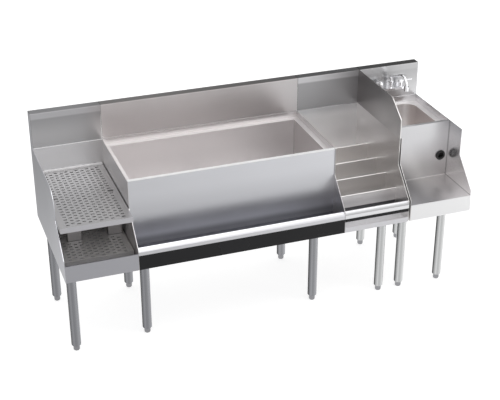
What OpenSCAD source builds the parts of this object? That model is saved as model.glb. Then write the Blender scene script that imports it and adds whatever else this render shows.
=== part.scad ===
// Underbar cocktail station: a drainboard with glass storage, an ice bin with
// a bottle rail, a tiered bottle display and a small sink with a mixer shelf,
// four modules joined side by side on eleven tubular legs.
// The station stands on the floor plane, its front faces -Y and its back +Y.

/* [Overall size] */
// Depth from the apron to the back of the splash
depth = 609.6; // [595:0.1:640]
// Height of the working edge above the floor
deck_h = 762; // [750:1:790]
// Rise of the splash above the working edge
splash_rise = 161; // [120:1:200]
// Depth of the splash box
splash_d = 41; // [36:1:60]
// Height of the body, from its underside to the working edge
body_h = 343; // [333:1:352]
// Thickness of the steel sheet
sheet = 2; // [1.5:0.1:2.4]

/* [Modules] */
// Width of the drainboard module
drain_w = 304.8; // [290:0.1:400]
// Width of the ice bin module
bin_w = 914.4; // [760:0.1:1100]
// Width of the bottle display module
step_w = 304.8; // [280:0.1:400]
// Width of the sink module
blend_w = 304.8; // [296:0.1:380]
// Gap between the display module and the sink module
seam_gap = 7; // [5:0.5:12]

/* [Side panels] */
// Height of the upright nose of each side panel
nose_h = 98; // [90:1:106]
// Backward lean of the nose over its height
nose_lean = 4; // [2:0.5:8]
// Setback of the upright front edge from the apron
wall_set = 125; // [115:1:128]
// Height of the sloped part of the front edge
slope_h = 124; // [110:1:130]
// Corner radius at the top front of the left end panel
end_corner_r = 78; // [20:1:90]

/* [Splash] */
// Height of the return flange at the back
splash_return = 60; // [40:1:90]
// Open seam between two neighbouring splash sheets
seam = 1; // [0.6:0.1:1.6]
// Step at the crease where the splash meets the body
joggle = 2; // [1:0.5:4]

/* [Splash divider] */
// Height of the upright front edge above the working edge
divider_nose = 90; // [60:1:110]
// Depth of the sloped front corner
divider_run = 96; // [60:1:140]
// Radius of the upper corner
divider_r = 34; // [10:1:50]
// Depth of the mounting leg below the working edge
divider_leg = 60; // [30:1:90]

/* [Drainboard] */
// Height of the drainboard above the top of the side slope
drain_lift = 3; // [1:0.5:8]
// Setback of the drainboard lip from the apron
drain_front = 42; // [30:1:60]
// Height of the drainboard lip
drain_lip = 22; // [18:1:30]
// Gap between the insert and the left end panel
insert_gap = 1; // [0.5:0.1:2]
// Gap between the insert and the panel on its right
insert_slot = 3; // [2:0.5:5]
// Height of the rear upstand above the insert
upstand_h = 8; // [4:1:14]
// Outer diameter of the drain tailpiece
tail_d = 31.8; // [25:0.1:38]
// Wall of every drain pipe
pipe_wall = 2; // [1.5:0.1:3]
// Height of the tailpiece end above the lower insert
tail_clear = 22; // [15:1:40]

/* [Perforation] */
// Length of one slot
slot_l = 16; // [12:0.5:20]
// Width of one slot
slot_w = 8; // [6:0.5:10]
// Spacing of slots in one row
slot_pitch = 45.6; // [44:0.1:60]
// Spacing of two rows that line up
row_pitch = 24; // [22:0.5:32]
// Plain margin at the left and right edges
side_margin = 34; // [24:1:44]
// Plain margin at the front and back edges
end_margin = 12; // [9:1:24]
// Length of a finger hole
finger_l = 28; // [24:1:34]
// Width of a finger hole
finger_w = 14; // [12:1:18]

/* [Glass storage] */
// Height of the apron
apron_h = 75; // [68:1:80]
// Height of the floor above the underside
floor_lift = 25; // [22:1:30]
// Height of the lower insert
insert_h = 34; // [28:1:38]
// Setback of the lower insert from the apron
lower_front = 58; // [50:1:70]
// Gap beside and behind the lower insert
lower_gap = 3; // [2:0.5:5]
// Width of the apron's top lip
apron_lip = 6; // [5:0.5:10]
// Depth of the hem under each apron
hem_d = 25; // [15:1:30]
// Drop of the apron's top lip
apron_drop = 12; // [8:1:16]
// Outer diameter of the outlet
outlet_d = 38.1; // [32:0.1:42]
// Drop of every outlet's end below the underside
outlet_drop = 47; // [39:1:57]
// Extra radius of a drain's neck over its tail
neck_t = 4; // [2:0.5:6]
// Length of a drain's neck below the sheet that it hangs from
neck_h = 8; // [5:0.5:12]

/* [Uprights] */
// Width of an upright
upright_w = 57; // [45:1:60]
// Depth of an upright
upright_d = 25; // [18:1:32]
// Setback of the uprights from the apron
upright_y = 222; // [215:1:232]
// Distance of the left upright from the left end
upright_left = 61; // [58:1:64]
// Distance of the right upright from the right side of its module
upright_side = 14.8; // [11.8:0.1:17.8]
// Clearance of the lower insert around an upright
upright_gap = 3; // [2:0.5:5]

/* [Ice bin] */
// Setback of the bin front from the apron
bin_set = 130; // [129:0.5:134]
// Depth of the front rim
rim_d = 15; // [12:1:20]
// Depth of the cover ledge below the rim
ledge_drop = 26; // [20:1:34]
// Width of the ledge at the sides
ledge_side = 24; // [20:1:32]
// Width of the ledge at the front
ledge_front = 26; // [22:1:34]
// Width of the ledge at the back
ledge_back = 28; // [22:1:40]
// Height of the bin's floor above the underside
bin_floor = 63; // [59:1:97]
// Outer diameter of the bin drain pipe
bin_pipe_d = 33.4; // [26:0.1:42]
// Diameter of the drain flange
bin_flange_d = 84; // [76:1:96]
// Diameter of the lift-out strainer
strainer_d = 72; // [64:1:74]

/* [Bottle rails] */
// Height of the top band's lower edge above the underside
band_lift = 66; // [60:1:70]
// Height of the band's upright face
band_face = 16; // [12:1:18]
// Height of the band's bevel
band_bevel = 14; // [10:1:16]
// Depth of the flat on top of the band
band_flat = 4; // [3:0.5:8]
// Thickness of the bumper strip
bumper_t = 6; // [5:0.5:8]
// Height of the rail's back wall
rail_back = 43; // [36:1:50]
// Height of the lower lip of the display rail
lip_h = 23; // [18:1:28]
// Height of the display's bumper strip
strip_h = 15; // [10:1:18]

/* [Bottle display] */
// Height of the rearmost lip above the underside
lip_top = 187.6; // [180:0.1:195]
// Distance of the rearmost lip from the back wall
lip_back = 126.6; // [116.6:0.1:136.6]
// Setback of the foremost lip from the apron
step_set = 135.5; // [132:0.5:143]
// Drop from one tier to the next
tier_drop = 28.1; // [26:0.1:29]
// Depth of each trough below its lip
trough_h = 76; // [70:1:76]
// Thickness of a folded lip
lip_t = 4.5; // [4:0.1:6]

/* [Sink] */
// Setback of the sink front from the apron
sink_set = 233; // [226:1:238]
// Depth of the recess below the rim
recess_h = 33; // [26:1:40]
// Plain deck on each side of the bowl
bowl_side = 26.9; // [24.9:0.1:36.9]
// Plain deck behind the bowl
bowl_back = 17.6; // [14.6:0.1:42.6]
// Corner radius of the bowl
bowl_r = 55; // [30:1:70]
// Depth of the bowl
bowl_h = 127; // [100:1:150]
// Gap between the bowl's front edge and the sink front
bowl_gap = 29; // [27:1:32]
// Outer diameter of the sink tailpiece
sink_tail_d = 38.1; // [32:0.1:42]
// Diameter of the sink drain flange
sink_flange_d = 88; // [80:1:96]

/* [Cord grommet] */
// Distance of the grommet from the right end
grommet_x = 37; // [32:1:60]
// Height of the grommet above the shelf
grommet_z = 102; // [60:1:140]
// Diameter of the visible ring
grommet_d = 46; // [42:1:50]
// Diameter of the hole in the sheet
grommet_hole = 38; // [34:1:40]
// Diameter of the cord hole
grommet_bore = 28; // [20:1:30]
// Thickness of each ring flange
grommet_t = 4; // [3:0.5:6]

/* [Faucet] */
// Distance of the valve axes from the splash
faucet_y = 28; // [26:1:34]
// Height of the faucet body above the working edge
faucet_z = 56; // [50:1:70]
// Spacing of the two supply shanks
shank_pitch = 101.6; // [96:0.1:110]
// Diameter of a supply thread
shank_d = 20.9; // [18:0.1:22]
// Diameter of a shank where it passes the splash
shank_root_d = 24; // [23:0.5:26]
// Length of the body, end to end
body_l = 144; // [138:1:156]
// Thickness of the body plate
body_t = 9; // [8:0.5:12]
// Diameter of a valve housing
valve_d = 17; // [15:0.5:20]
// Height of a valve housing
valve_h = 21; // [18:1:26]
// Diameter of the spout post
post_d = 18; // [17:0.5:22]
// Height of the spout post
post_h = 27; // [24:1:32]
// Diameter of the spout nut
collar_d = 25; // [23:0.5:30]
// Height of the spout nut
collar_h = 6; // [5:0.5:9]
// Outer diameter of the spout tube
spout_d = 13; // [11:0.5:13.5]
// Wall of the spout tube
spout_wall = 1.5; // [1:0.1:2]
// Length of the spout's upright start above the nut
spout_rise = 14; // [10:1:24]
// Radius of the first spout bend
spout_r1 = 14; // [12:1:20]
// Radius of the end bend
spout_r2 = 36; // [28:1:44]
// Length of the straight run of the spout
spout_run = 104; // [80:1:120]
// Length of the spout's outlet leg
spout_leg = 12; // [10:1:20]
// Diameter of the aerator
aerator_d = 22; // [19:0.5:24]
// Height of the aerator
aerator_h = 20; // [16:1:24]
// Diameter of a handle hub
hub_d = 24; // [20:0.5:26]
// Height of a handle hub
hub_h = 12; // [10:0.5:16]
// Length of a handle lever from its axis
lever_l = 58; // [48:1:64]
// Width of a handle lever
lever_w = 11; // [8:0.5:14]
// Thickness of a handle lever
lever_t = 5; // [4:0.5:7]
// Diameter of a valve stem
stem_d = 8; // [6:0.5:9]
// Running clearance around a turning piece
run_gap = 0.1; // [0.05:0.01:0.2]

/* [Legs] */
// Outer diameter of a leg tube
leg_d = 41.3; // [38:0.1:44]
// Wall of a leg tube
leg_wall = 1.5; // [1.2:0.1:2.5]
// Height of the visible part of a foot
foot_h = 25; // [20:1:32]
// Diameter of a foot
foot_d = 27; // [24:0.5:32]
// Radius of the rounded foot edge
foot_r = 7; // [4:0.5:9]
// Diameter of the foot's threaded stem
foot_stem_d = 16; // [12:0.5:18]
// Length of the foot's threaded stem
foot_stem_l = 70; // [55:1:90]
// Height of the plug at the bottom of a leg
plug_h = 24; // [18:1:30]
// Rounding at the bottom of a leg
leg_round = 6; // [3:0.5:8]
// Height of a leg rail
rail_h = 25; // [20:1:30]
// Width of a leg rail, front to back
rail_w = 96; // [92:1:100]
// Thickness of a leg rail
rail_t = 2.5; // [2:0.1:3]
// Length of a leg socket below its rail
socket_h = 44; // [30:1:50]
// Wall of a leg socket
socket_wall = 2.5; // [2:0.1:4]
// Distance of the front legs from the apron
leg_front = 138; // [134:1:142]
// Distance of the bin's front legs from the apron
leg_bin_front = 165; // [160:1:168]
// Distance of the rear legs from the back
leg_back = 53.6; // [49.6:0.1:63.6]
// Distance of the drainboard legs from the left end
leg_drain_x = 45; // [42:1:80]
// Distance of the bin's left front leg from the bin's left side
leg_bin_lf = 60.2; // [40:0.1:100]
// Distance of the bin's left rear leg from the bin's left side
leg_bin_lr = 78.2; // [40:0.1:100]
// Distance of the bin's right legs from the bin's right side
leg_bin_r = 75.2; // [40:0.1:100]
// Distance of the display leg from the display's right side
leg_step_r = 59; // [40:0.1:90]
// Distance of the sink's left legs from the sink's left side
leg_blend_l = 44; // [38:0.1:80]
// Distance of the sink's right legs from the right end
leg_blend_r = 60.8; // [45:0.1:90]

/* [Fasteners] */
// Diameter of a seam bolt
bolt_d = 8; // [6:0.5:10]
// Clearance of a bolt in its hole
bolt_gap = 0.4; // [0.2:0.1:0.8]
// Width across the flats of a bolt head
head_w = 13; // [12:0.5:16]
// Height of a bolt head
head_h = 5.5; // [4:0.5:7]
// Outer diameter of a spacer sleeve
spacer_d = 14; // [12:0.5:18]

/* [Hidden] */
$fn = 48;
quarter = 90;
hexagon = 6;
over = 1;

// Levels and planes that several pieces share
top_z = deck_h + splash_rise;
base_h = deck_h - body_h;
outlet_z = base_h - outlet_drop;
splash_y = depth - splash_d;
wall_y = splash_y - joggle;
nose_z = base_h + nose_h;
slope_z = nose_z + slope_h;
floor_z = base_h + floor_lift;
shelf_z = base_h + apron_h;
x1 = drain_w;
x2 = x1 + bin_w;
x3 = x2 + step_w;
x4 = x3 + blend_w;
seam_x = x3 + seam_gap;
blend_x = seam_x + sheet;
end_x = x4 - sheet;

// Drainboard and glass shelf
drain_z = slope_z + drain_lift;
insert_x0 = sheet + insert_gap;
insert_x1 = x1 - sheet - insert_slot;
insert_y1 = wall_y - sheet - insert_gap;
pan_x0 = insert_x0 + sheet + insert_gap;
pan_x1 = insert_x1 - sheet - insert_gap;
pan_y0 = drain_front + sheet + insert_gap;
pan_z = drain_z - drain_lip;
drain_cx = (sheet + x1 - sheet) / 2;
drain_cy = (drain_front + insert_y1) / 2;
lower_x0 = sheet + lower_gap;
lower_x1 = x1 - sheet - lower_gap;
lower_y1 = wall_y - lower_gap;
lower_z0 = floor_z + sheet;
lower_z1 = lower_z0 + insert_h;
pipe_flange = 12;
pipe_flange_t = 3;
outlet_y = 330;

// Ice bin
bin_cx = (x1 + x2) / 2;
cav_x0 = x1 + ledge_side;
cav_x1 = x2 - sheet - ledge_side;
cav_y0 = bin_set + sheet + ledge_front;
cav_y1 = wall_y - ledge_back;
ledge_z = deck_h - ledge_drop;
cav_z = base_h + bin_floor;
bin_cy = (cav_y0 + cav_y1) / 2;
strainer_t = 3;
strainer_skirt = 8;
strainer_ring = 22;
strainer_hole = 6;
strainer_count = 8;

// Rails and display
band_z0 = base_h + band_lift;
band_z1 = band_z0 + band_face;
band_z2 = band_z1 + band_bevel;
band_y = band_bevel + band_flat;
rail_top = base_h + rail_back;
tiers = 4;
last_tier = tiers - 1;
lip_y = wall_y - lip_back;
tier_run = (lip_y - step_set) / last_tier;
function tier_y(i) = lip_y - i * tier_run;
function tier_z(i) = base_h + lip_top - i * tier_drop;
step_front = tier_y(last_tier);

// Sink
sink_cx = (blend_x + end_x) / 2;
bowl_w = end_x - blend_x - 2 * bowl_side;
bowl_y0 = sink_set + sheet + bowl_gap;
bowl_l = wall_y - bowl_back - bowl_y0;
sink_cy = bowl_y0 + bowl_l / 2;
recess_z = deck_h - recess_h;
bowl_z = recess_z - bowl_h;
sink_nut_h = 8;
sink_nut_d = 70;
sink_body_d = 60;
sink_body_h = 30;
sink_hole = sink_body_d + 2 * bolt_gap;
tail_hole = 90;
basket_d = 50;
basket_h = 16;
basket_rim = 70;
basket_t = 2;
basket_ring = 16;
strainer_pull = 10;
strainer_knob = 12;

// Faucet
faucet_cx = (x3 + x4) / 2;
valve_y = splash_y - faucet_y;
body_z = deck_h + faucet_z;
plate_z = body_z + body_t;
valve_z = plate_z + valve_h;
post_z = plate_z + post_h;
nut_z = post_z + collar_h;
body_front = 16;
shank_z = body_z + body_t / 2;
shank_back = 8;
shank_bore = 13;
fixing_w = 34;
fixing_h = 8;
shank_flange = 30;
shank_flange_t = 3;
seat_gap = 0.3;
stem_l = 14;
spout_seat = 12;
// The spout's straight run rises by this share of its length
climb_share = 0.352;
reach_share = sqrt(1 - climb_share * climb_share);
spout_tilt = asin(climb_share);
hub_top_share = 0.6;
lever_lift = 5;

// Legs, as [distance from the left end, distance from the apron]
leg_rear = depth - leg_back;
foot_at = [
    [leg_drain_x, leg_front], [leg_drain_x, leg_rear],
    [x1 + leg_bin_lf, leg_bin_front], [x1 + leg_bin_lr, leg_rear],
    [x2 - leg_bin_r, leg_bin_front], [x2 - leg_bin_r, leg_rear],
    [x3 - leg_step_r, leg_front],
    [x3 + leg_blend_l, leg_front], [x3 + leg_blend_l, leg_rear],
    [x4 - leg_blend_r, leg_front], [x4 - leg_blend_r, leg_rear]];
front_legs = [0, 2, 4, 6, 7, 9];
rear_legs = [1, 3, 5, 8, 10];
rail_inset = 18;
rail_front_y = (leg_front + leg_bin_front) / 2;
rail_z0 = base_h - rail_h;
leg_top = base_h - rail_t;
socket_gap = 0.1;

// Seam bolts, one below each of the three rear troughs, each this far above the underside
bolt_up = [50, 45, 30];
bolt_at = [for (i = [0:last_tier - 1])
    [(tier_y(i) + (i == 0 ? wall_y : tier_y(i - 1))) / 2, bolt_up[i]]];
washer_gap = 0.2;

// Basic shapes
module place() {
    translate([-x4 / 2, -depth / 2, 0]) children();
}
module block(x0, xe, y0, ye, z0, ze) {
    translate([x0, y0, z0]) cube([xe - x0, ye - y0, ze - z0]);
}
module extrude_x(points, x0, xe) {
    translate([x0, 0, 0]) rotate([quarter, 0, quarter])
        linear_extrude(height = xe - x0) polygon(points);
}
module rod_z(x, y, r, z0, ze) {
    translate([x, y, z0]) cylinder(h = ze - z0, r = r);
}
module rod_x(y, z, r, x0, xe) {
    translate([x0, y, z]) rotate([0, quarter, 0]) cylinder(h = xe - x0, r = r);
}
module rod_y(x, z, r, y0, ye) {
    translate([x, ye, z]) rotate([quarter, 0, 0]) cylinder(h = ye - y0, r = r);
}
module hex_x(y, z, w, x0, xe) {
    translate([x0, y, z]) rotate([0, quarter, 0])
        cylinder(h = xe - x0, d = w / cos(quarter / 3), $fn = hexagon);
}
function unit(v) = v / norm(v);
function side(v) = [-v[1], v[0]];
function miter(path, i, t) =
    let (n = len(path) - 1,
        a = i == 0 ? side(unit(path[1] - path[0])) : side(unit(path[i] - path[i - 1])),
        b = i == n ? a : side(unit(path[i + 1] - path[i])))
    path[i] + t * (a + b) / (1 + a * b);
// Closed outline of a bent sheet of thickness t on the left of its path
function bent(path, t) =
    concat(path, [for (i = [len(path) - 1:-1:0]) miter(path, i, t)]);
arc_steps = 10;
function arc(c, r, a0, ae) =
    [for (i = [0:arc_steps]) c + r * [cos(a0 + (ae - a0) * i / arc_steps),
        sin(a0 + (ae - a0) * i / arc_steps)]];

// Side profiles, drawn as [distance from the apron, height]
low_front = [[0, base_h], [nose_lean, nose_z], [wall_set, slope_z]];
mid_profile = concat(low_front, [[wall_set, deck_h], [wall_y, deck_h], [wall_y, base_h]]);
splash_ear = [[splash_y, deck_h], [splash_y, top_z], [depth, top_z], [depth, base_h]];
right_profile = concat(low_front, [[wall_set, deck_h]], splash_ear);
left_profile = concat(low_front,
    arc([wall_set + end_corner_r, deck_h - end_corner_r], end_corner_r, 2 * quarter, quarter),
    splash_ear);

module mid_panel(x0) {
    extrude_x(mid_profile, x0, x0 + sheet);
}
module bolt_holes(x0) {
    for (b = bolt_at)
        rod_x(b[0], base_h + b[1], bolt_d / 2 + bolt_gap, x0 - over, x0 + sheet + over);
}

// Side panels
module left_end_panel() {
    color([0.66, 0.67, 0.69]) place() extrude_x(left_profile, 0, sheet);
}
module drainboard_side_panel() {
    color([0.62, 0.61, 0.61]) place() mid_panel(x1 - sheet);
}
module bin_side_panel() {
    color([0.62, 0.61, 0.61]) place() mid_panel(x2 - sheet);
}
module display_side_panel() {
    color([0.57, 0.56, 0.55]) place() difference() {
        mid_panel(x3 - sheet);
        bolt_holes(x3 - sheet);
    }
}
module blender_side_panel() {
    color([0.55, 0.55, 0.56]) place() difference() {
        mid_panel(seam_x);
        bolt_holes(seam_x);
    }
}
module right_end_panel() {
    color([0.62, 0.62, 0.64]) place() extrude_x(right_profile, end_x, x4);
}

// Splash sheets: body wall, joggle, splash, top and rear return
splash_path = [[wall_y, base_h], [wall_y, deck_h], [splash_y, deck_h + joggle],
    [splash_y, top_z], [depth, top_z], [depth, top_z - splash_return]];
module splash(x0, xe) {
    extrude_x(bent(splash_path, -sheet), x0, xe);
}
module drainboard_splash() {
    color([0.68, 0.68, 0.7]) place() splash(sheet, x1 - seam / 2);
}
module bin_splash() {
    color([0.66, 0.64, 0.62]) place() splash(x1 + seam / 2, x2 - seam / 2);
}
module display_splash() {
    color([0.6, 0.59, 0.58]) place() splash(x2 + seam / 2, x3 + (seam_gap - seam) / 2);
}
module blender_splash() {
    color([0.68, 0.68, 0.7]) place() difference() {
        splash(x3 + (seam_gap + seam) / 2, end_x);
        for (s = [-1, 1])
            rod_y(faucet_cx + s * shank_pitch / 2, shank_z, shank_root_d / 2 + bolt_gap,
                splash_y - over, splash_y + sheet + over);
    }
}

// Perforated inserts
slot_cols = floor((insert_x1 - insert_x0 - 2 * side_margin) / slot_pitch);
module slot(x, y, l, w) {
    translate([x - (l - w) / 2, y]) circle(d = w);
    translate([x + (l - w) / 2, y]) circle(d = w);
    translate([x - (l - w) / 2, y - w / 2]) square([l - w, w]);
}
function near(x, y, spots) =
    len([for (s = spots) if (abs(x - s[0]) < s[2] && abs(y - s[1]) < s[3]) 1]) > 0;
module perforation(cx, y0, ye, spots) {
    rows = floor((ye - y0 - 2 * end_margin) / row_pitch);
    start = y0 + (ye - y0 - rows * row_pitch) / 2;
    first = cx - slot_cols * slot_pitch / 2;
    for (r = [0:rows])
        for (c = [0:slot_cols]) {
            x = first + c * slot_pitch;
            y = start + r * row_pitch;
            if (!near(x, y, spots)) slot(x, y, slot_l, slot_w);
        }
    for (r = [0:rows - 1])
        for (c = [0:slot_cols - 1]) {
            x = first + (c + 1 / 2) * slot_pitch;
            y = start + (r + 1 / 2) * row_pitch;
            if (!near(x, y, spots)) slot(x, y, slot_l, slot_w);
        }
}
module tray_flanges(x0, xe, y0, ye, z0, ze, back) {
    block(x0, x0 + sheet, y0, ye, z0, ze);
    block(xe - sheet, xe, y0, ye, z0, ze);
    block(x0, xe, y0, y0 + sheet, z0, ze);
    block(x0, xe, ye - sheet, ye, back, ze);
}
finger_x = slot_cols * slot_pitch / 2 + (finger_l - slot_l) / 4;
finger_room_x = (finger_l + slot_l) / 2 + sheet;
finger_room_y = (finger_w + slot_w) / 2 + sheet;
finger_spots = [for (s = [-1, 1])
    [drain_cx + s * finger_x, drain_cy, finger_room_x, finger_room_y]];
module drainboard_insert() {
    color([0.69, 0.68, 0.69]) place() union() {
        translate([0, 0, drain_z - sheet]) linear_extrude(height = sheet) difference() {
            translate([insert_x0, drain_front])
                square([insert_x1 - insert_x0, insert_y1 - drain_front]);
            perforation(drain_cx, drain_front, insert_y1, finger_spots);
            for (f = finger_spots) slot(f[0], f[1], finger_l, finger_w);
        }
        tray_flanges(insert_x0, insert_x1, drain_front, insert_y1, pan_z, drain_z - sheet,
            pan_z + sheet + insert_gap);
    }
}
module drainboard_pan() {
    color([0.55, 0.54, 0.54]) place() difference() {
        union() {
            block(pan_x0, pan_x1, pan_y0, wall_y, pan_z, pan_z + sheet);
            block(pan_x0, pan_x0 + sheet, pan_y0, insert_y1 - sheet - insert_gap,
                pan_z, drain_z - sheet);
            block(pan_x1 - sheet, pan_x1, pan_y0, insert_y1 - sheet - insert_gap,
                pan_z, drain_z - sheet);
            block(pan_x0, pan_x1, pan_y0, pan_y0 + sheet, pan_z, drain_z - sheet);
            block(pan_x0, pan_x1, wall_y - sheet, wall_y, pan_z, drain_z + upstand_h);
        }
        rod_z(drain_cx, drain_cy, tail_d / 2 + neck_t, pan_z - over, pan_z + sheet + over);
    }
}
// Drain with a flange at ze, a neck through the sheet below it and a tail down to z0
module drain_pipe(x, y, d, z0, ze) {
    difference() {
        union() {
            rod_z(x, y, d / 2, z0, ze);
            rod_z(x, y, d / 2 + neck_t, ze - sheet - neck_h, ze);
            rod_z(x, y, d / 2 + pipe_flange, ze, ze + pipe_flange_t);
        }
        rod_z(x, y, d / 2 - pipe_wall, z0 - over, ze + pipe_flange_t + over);
    }
}
module drainboard_drain() {
    color([0.8, 0.8, 0.82]) place()
        drain_pipe(drain_cx, drain_cy, tail_d, lower_z1 + tail_clear, pan_z + sheet);
}

// Glass storage below the drainboard
module glass_shelf_pan() {
    color([0.6, 0.6, 0.62]) place() difference() {
        union() {
            extrude_x(bent([[hem_d, base_h], [0, base_h], [0, shelf_z],
                [apron_lip, shelf_z], [apron_lip, shelf_z - apron_drop]], -sheet),
                sheet, x1 - sheet);
            block(sheet, x1 - sheet, sheet / 2, wall_y, floor_z, lower_z0);
        }
        rod_z(drain_cx, outlet_y, outlet_d / 2 + neck_t, floor_z - over, lower_z0 + over);
    }
}
upright_right = x1 - upright_side - upright_w;
upright_x = [upright_left, upright_right];
upright_spots = [for (x = upright_x)
    [x + upright_w / 2, upright_y + upright_d / 2,
        upright_w / 2 + upright_gap + slot_l / 2 + sheet,
        upright_d / 2 + upright_gap + slot_w / 2 + sheet]];
module glass_shelf_insert() {
    color([0.45, 0.43, 0.42]) place() union() {
        translate([0, 0, lower_z1 - sheet]) linear_extrude(height = sheet) difference() {
            translate([lower_x0, lower_front])
                square([lower_x1 - lower_x0, lower_y1 - lower_front]);
            perforation(drain_cx, lower_front, lower_y1, upright_spots);
            for (x = upright_x)
                translate([x - upright_gap, upright_y - upright_gap])
                    square([upright_w + 2 * upright_gap, upright_d + 2 * upright_gap]);
        }
        tray_flanges(lower_x0, lower_x1, lower_front, lower_y1, lower_z0, lower_z1 - sheet,
            lower_z0);
    }
}
module glass_shelf_drain() {
    color([0.7, 0.7, 0.72]) place()
        drain_pipe(drain_cx, outlet_y, outlet_d, outlet_z, lower_z0);
}
module upright(x) {
    difference() {
        block(x, x + upright_w, upright_y, upright_y + upright_d, lower_z0, pan_z);
        block(x + sheet, x + upright_w - sheet, upright_y + sheet, upright_y + upright_d + over,
            lower_z0 - over, pan_z + over);
    }
}
module left_upright() {
    color([0.5, 0.49, 0.49]) place() upright(upright_left);
}
module right_upright() {
    color([0.5, 0.49, 0.49]) place() upright(upright_right);
}

// Ice bin
module bin_casing() {
    color([0.76, 0.77, 0.79]) place() difference() {
        extrude_x(bent([[wall_y, floor_z], [bin_set, floor_z], [bin_set, deck_h],
            [bin_set + rim_d, deck_h]], -sheet), x1, x2 - sheet);
        rod_z(bin_cx, bin_cy, bin_pipe_d / 2 + neck_t, floor_z - over, lower_z0 + over);
    }
}
module bin_liner() {
    color([0.73, 0.7, 0.69]) place() difference() {
        union() {
            block(x1, x2 - sheet, bin_set + sheet, wall_y, ledge_z - sheet, ledge_z);
            block(cav_x0 - sheet, cav_x1 + sheet, cav_y0 - sheet, cav_y1 + sheet,
                cav_z - sheet, ledge_z - sheet);
        }
        block(cav_x0, cav_x1, cav_y0, cav_y1, cav_z, ledge_z + over);
        rod_z(bin_cx, bin_cy, bin_pipe_d / 2 + neck_t, cav_z - sheet - over, cav_z + over);
    }
}
module bin_insulation() {
    color([0.93, 0.87, 0.7]) place() difference() {
        block(x1, x2 - sheet, bin_set + sheet, wall_y, lower_z0, ledge_z - sheet);
        block(cav_x0 - sheet, cav_x1 + sheet, cav_y0 - sheet, cav_y1 + sheet,
            cav_z - sheet, ledge_z + over);
        rod_z(bin_cx, bin_cy, bin_pipe_d / 2 + neck_t, lower_z0 - over, cav_z + over);
    }
}
module bin_drain() {
    color([0.75, 0.75, 0.77]) place() difference() {
        union() {
            rod_z(bin_cx, bin_cy, bin_pipe_d / 2, outlet_z, cav_z);
            rod_z(bin_cx, bin_cy, bin_pipe_d / 2 + neck_t, floor_z - neck_h, cav_z);
            rod_z(bin_cx, bin_cy, bin_flange_d / 2, cav_z, cav_z + pipe_flange_t);
        }
        rod_z(bin_cx, bin_cy, bin_pipe_d / 2 - pipe_wall, outlet_z - over,
            cav_z + pipe_flange_t + over);
    }
}
module bin_strainer() {
    base = cav_z + pipe_flange_t;
    color([0.7, 0.7, 0.72]) place() difference() {
        rod_z(bin_cx, bin_cy, strainer_d / 2, base, base + strainer_skirt);
        rod_z(bin_cx, bin_cy, strainer_d / 2 - strainer_t, base - over,
            base + strainer_skirt - strainer_t);
        for (i = [0:strainer_count - 1]) {
            a = i * 4 * quarter / strainer_count;
            rod_z(bin_cx + strainer_ring * cos(a), bin_cy + strainer_ring * sin(a),
                strainer_hole, base, base + strainer_skirt + over);
        }
    }
}

// Bottle rails: a trough with a beveled band on top and a bumper below it
band_path = [[0, band_z0], [0, band_z1], [band_bevel, band_z2], [band_y, band_z2]];
module bin_rail() {
    color([0.9, 0.9, 0.91]) place() extrude_x(bent(concat(
        [[bin_set, rail_top], [bin_set, base_h], [bumper_t, base_h], [bumper_t, band_z0]],
        band_path, [[band_y, band_z0 + sheet]]), -sheet), x1, x2 - sheet);
}
module bin_rail_bumper() {
    color([0.12, 0.12, 0.12]) place()
        block(x1, x2 - sheet, 0, bumper_t, base_h, band_z0);
}
module display_rail() {
    color([0.83, 0.83, 0.84]) place() extrude_x(bent(
        [[step_front, rail_top], [step_front, base_h], [0, base_h], [0, base_h + lip_h],
        [apron_lip, base_h + lip_h]], -sheet), x2, x3 - sheet);
}
module display_guard() {
    color([0.88, 0.88, 0.89]) place() extrude_x(bent(concat(
        [[bumper_t, band_z0 - strip_h], [bumper_t, band_z0]],
        band_path, [[band_y, band_z0 - strip_h]]), -sheet), x2, x3 - sheet);
}
module display_bumper() {
    color([0.12, 0.12, 0.12]) place()
        block(x2, x3 - sheet, 0, bumper_t, band_z0 - strip_h, band_z0);
}

// Tiered bottle display: four troughs, each with a folded front lip
module bottle_steps() {
    color([0.64, 0.62, 0.61]) place() union() {
        for (i = [0:last_tier]) {
            back = i == 0 ? wall_y : tier_y(i - 1) + lip_t;
            low = i == last_tier ? floor_z : tier_z(i + 1) - trough_h - sheet;
            block(x2, x3 - sheet, tier_y(i), back,
                tier_z(i) - trough_h - sheet, tier_z(i) - trough_h);
            block(x2, x3 - sheet, tier_y(i), tier_y(i) + lip_t, low, tier_z(i) - lip_t / 2);
            rod_x(tier_y(i) + lip_t / 2, tier_z(i) - lip_t / 2, lip_t / 2, x2, x3 - sheet);
        }
    }
}

// Splash divider between the display and the sink
divider_turn = atan2(splash_rise - divider_nose, divider_run);
divider_cut = divider_r * tan(divider_turn / 2);
divider_profile = concat([[wall_set, deck_h], [wall_set, deck_h + divider_nose]],
    arc([wall_set + divider_run + divider_cut, top_z - divider_r], divider_r,
        quarter + divider_turn, quarter),
    [[splash_y, top_z], [splash_y, deck_h + joggle], [wall_y, deck_h]]);
module splash_divider() {
    color([0.5, 0.48, 0.47]) place() union() {
        extrude_x(divider_profile, x3 - sheet, x3 + sheet);
        block(x3, x3 + sheet, wall_set + sheet, wall_y,
            deck_h - divider_leg, deck_h + joggle / 2);
    }
}

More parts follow.
